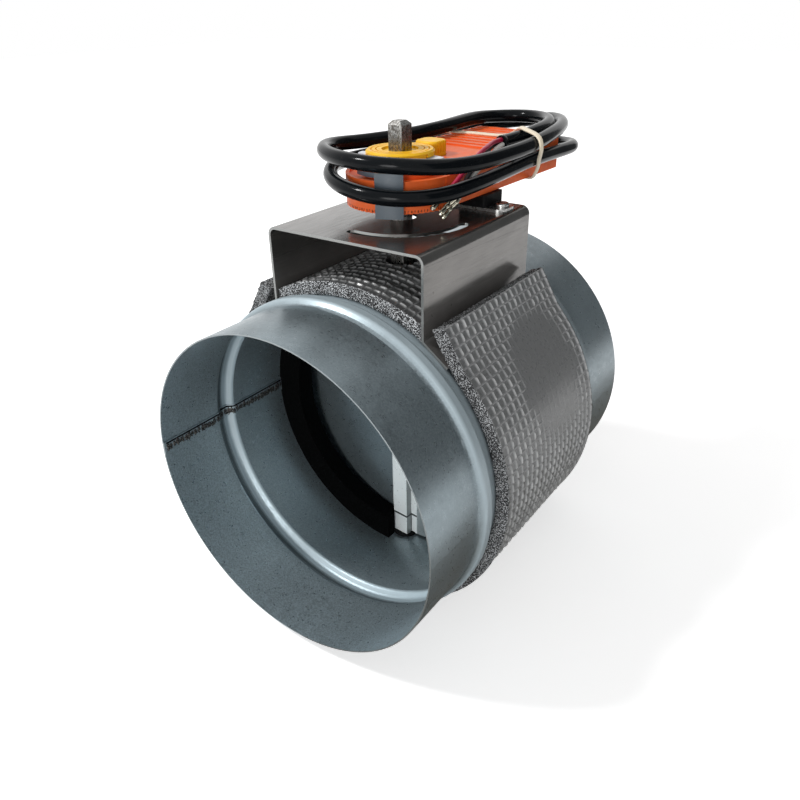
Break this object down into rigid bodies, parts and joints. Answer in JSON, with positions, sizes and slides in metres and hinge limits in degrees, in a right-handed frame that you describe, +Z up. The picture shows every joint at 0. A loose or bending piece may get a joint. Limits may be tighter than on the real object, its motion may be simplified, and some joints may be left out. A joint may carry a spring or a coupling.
{
  "type": "motorized duct damper",
  "caption": "Round sheet metal duct section with a shut-off blade turned by a rotary actuator that stands on a bridge bracket over insulation, with its cable coiled on top.",
  "frame": {"origin": "centre of the duct's front rim, on the duct axis", "axes": "+Y along the duct axis from the front rim to the rear rim, +Z up along the damper shaft towards the actuator, +X to the right seen from the front"},
  "size_m": [0.1722, 0.2377, 0.2348],
  "materials": {
    "galvanised_sheet": "zinc coated sheet with a satin sheen",
    "shaft_steel": "bright square bar with a rough sawn skin",
    "fastener_steel": "zinc plated",
    "foam": "matt dark grey cell foam with a waffle skin",
    "seal_rubber": "matt black",
    "black_plastic": "matt black",
    "orange_plastic": "satin orange",
    "yellow_plastic": "satin yellow",
    "slate_plastic": "satin slate grey",
    "white_plastic": "satin white",
    "cable_jacket": "glossy black",
    "red_insulation": "satin crimson",
    "black_insulation": "satin black",
    "white_insulation": "satin white",
    "ferrule_metal": "tinned",
    "band_rubber": "matt cream",
    "gear_plastic": "satin natural plastic",
    "gear_steel": "machined",
    "motor_can": "plated can",
    "board": "green solder mask"
  },
  "bodies": {
    "duct": {"duct_body": "galvanised_sheet", "insulation_wrap": "foam", "insulation_strip": "foam", "bracket": "galvanised_sheet", "bracket_rivets": "fastener_steel", "front_half_seal": "seal_rubber", "rear_half_seal": "seal_rubber", "housing_base": "orange_plastic", "housing_cover": "orange_plastic", "housing_screws": "fastener_steel", "button_spring": "fastener_steel", "motor": "motor_can", "gear_axles": "gear_steel", "circuit_board": "board", "anti_rotation_strap": "fastener_steel", "anti_rotation_block": "black_plastic", "strap_screws": "fastener_steel", "cable_gland": "black_plastic", "power_cable": "cable_jacket", "core_red": "red_insulation", "core_black": "black_insulation", "core_white": "white_insulation", "wire_ferrules": "ferrule_metal", "rubber_band": "band_rubber"},
    "shaft": {"damper_shaft": "shaft_steel", "blade_front_sheet": "galvanised_sheet", "blade_rear_sheet": "galvanised_sheet", "shaft_sleeves": "galvanised_sheet", "upper_bush": "black_plastic", "lower_bush": "black_plastic", "output_gear": "gear_steel", "clamp_ring": "yellow_plastic", "pointer": "white_plastic"},
    "button": {"release_button": "yellow_plastic"},
    "end_stop": {"end_stop_clip": "slate_plastic"},
    "second_wheel": {"second_gear": "gear_steel"},
    "first_wheel": {"first_gear": "gear_plastic"},
    "motor_rotor": {"motor_pinion": "gear_plastic"}
  },
  "joints": [
    {"name": "blade_turn", "type": "hinge", "parent": "duct", "child": "shaft", "pos_m": [0, 0.09625, 0], "axis": [0, 0, -1], "range_deg": [-6, 74]},
    {"name": "second_gear_turn", "type": "hinge", "parent": "duct", "child": "second_wheel", "pos_m": [-0.01167, 0.11558, 0.118], "axis": [0, 0, -1], "range_deg": [-308, 36]},
    {"name": "first_gear_turn", "type": "hinge", "parent": "duct", "child": "first_wheel", "pos_m": [-0.00369, 0.12632, 0.121], "axis": [0, 0, -1], "range_deg": [-101.2, 862.8]},
    {"name": "motor_turn", "type": "hinge", "parent": "duct", "child": "motor_rotor", "pos_m": [-0.00013, 0.13922, 0.122], "axis": [0, 0, -1], "range_deg": [-2414.6, 282.2]},
    {"name": "release_press", "type": "slide", "parent": "duct", "child": "button", "axis": [0, 0, -1], "range_m": [0, 0.002], "stiffness_N_per_m": 300, "springref_m": -0.002, "deforming": ["button_spring"]},
    {"name": "end_stop_turn", "type": "hinge", "parent": "duct", "child": "end_stop", "pos_m": [0, 0.09625, 0.12], "axis": [0, 0, 1], "range_deg": [-15, 25]}
  ],
  "couplings": [
    {"joint": "second_gear_turn", "follows": "blade_turn", "ratio": -4},
    {"joint": "first_gear_turn", "follows": "blade_turn", "ratio": 11.2},
    {"joint": "motor_turn", "follows": "blade_turn", "ratio": -31.36}
  ]
}
